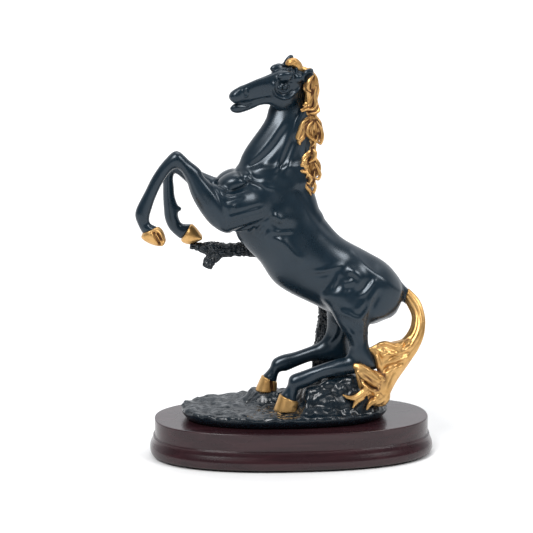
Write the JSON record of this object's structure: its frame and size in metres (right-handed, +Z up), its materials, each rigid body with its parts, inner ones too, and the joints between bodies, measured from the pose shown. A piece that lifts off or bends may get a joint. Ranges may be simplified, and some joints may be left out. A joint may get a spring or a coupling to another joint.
{
  "type": "horse statuette",
  "caption": "Rearing horse statuette in black patina with gilded mane, tail and hooves, held up by a tree stump on rocky ground and screwed to an oval mahogany plinth.",
  "frame": {"origin": "centre of the plinth's underside, on the face of the baize pad", "axes": "+Z up, the horse faces -X along the plinth's long side, -Y is the horse's near side"},
  "size_m": [0.2099, 0.1128, 0.28],
  "materials": {
    "plinth_wood": "satin",
    "baize": "matte",
    "black_patina": "satin",
    "gilding": "satin",
    "steel": "satin"
  },
  "bodies": {
    "root": {"baize_pad": "baize", "plinth": "plinth_wood", "fixing_screws": "steel", "screw_washers": "steel", "ground": "black_patina", "tree_trunk": "black_patina", "tree_branch": "black_patina", "torso": "black_patina", "neck": "black_patina", "head": "black_patina", "near_foreleg": "black_patina", "far_foreleg": "black_patina", "near_hind_leg": "black_patina", "far_hind_leg": "black_patina", "near_fore_hoof": "gilding", "far_fore_hoof": "gilding", "near_hind_hoof": "gilding", "far_hind_hoof": "gilding", "tail_dock": "black_patina", "tail": "gilding", "mane": "gilding", "forelock": "gilding", "joint_pins": "steel"}
  },
  "joints": []
}
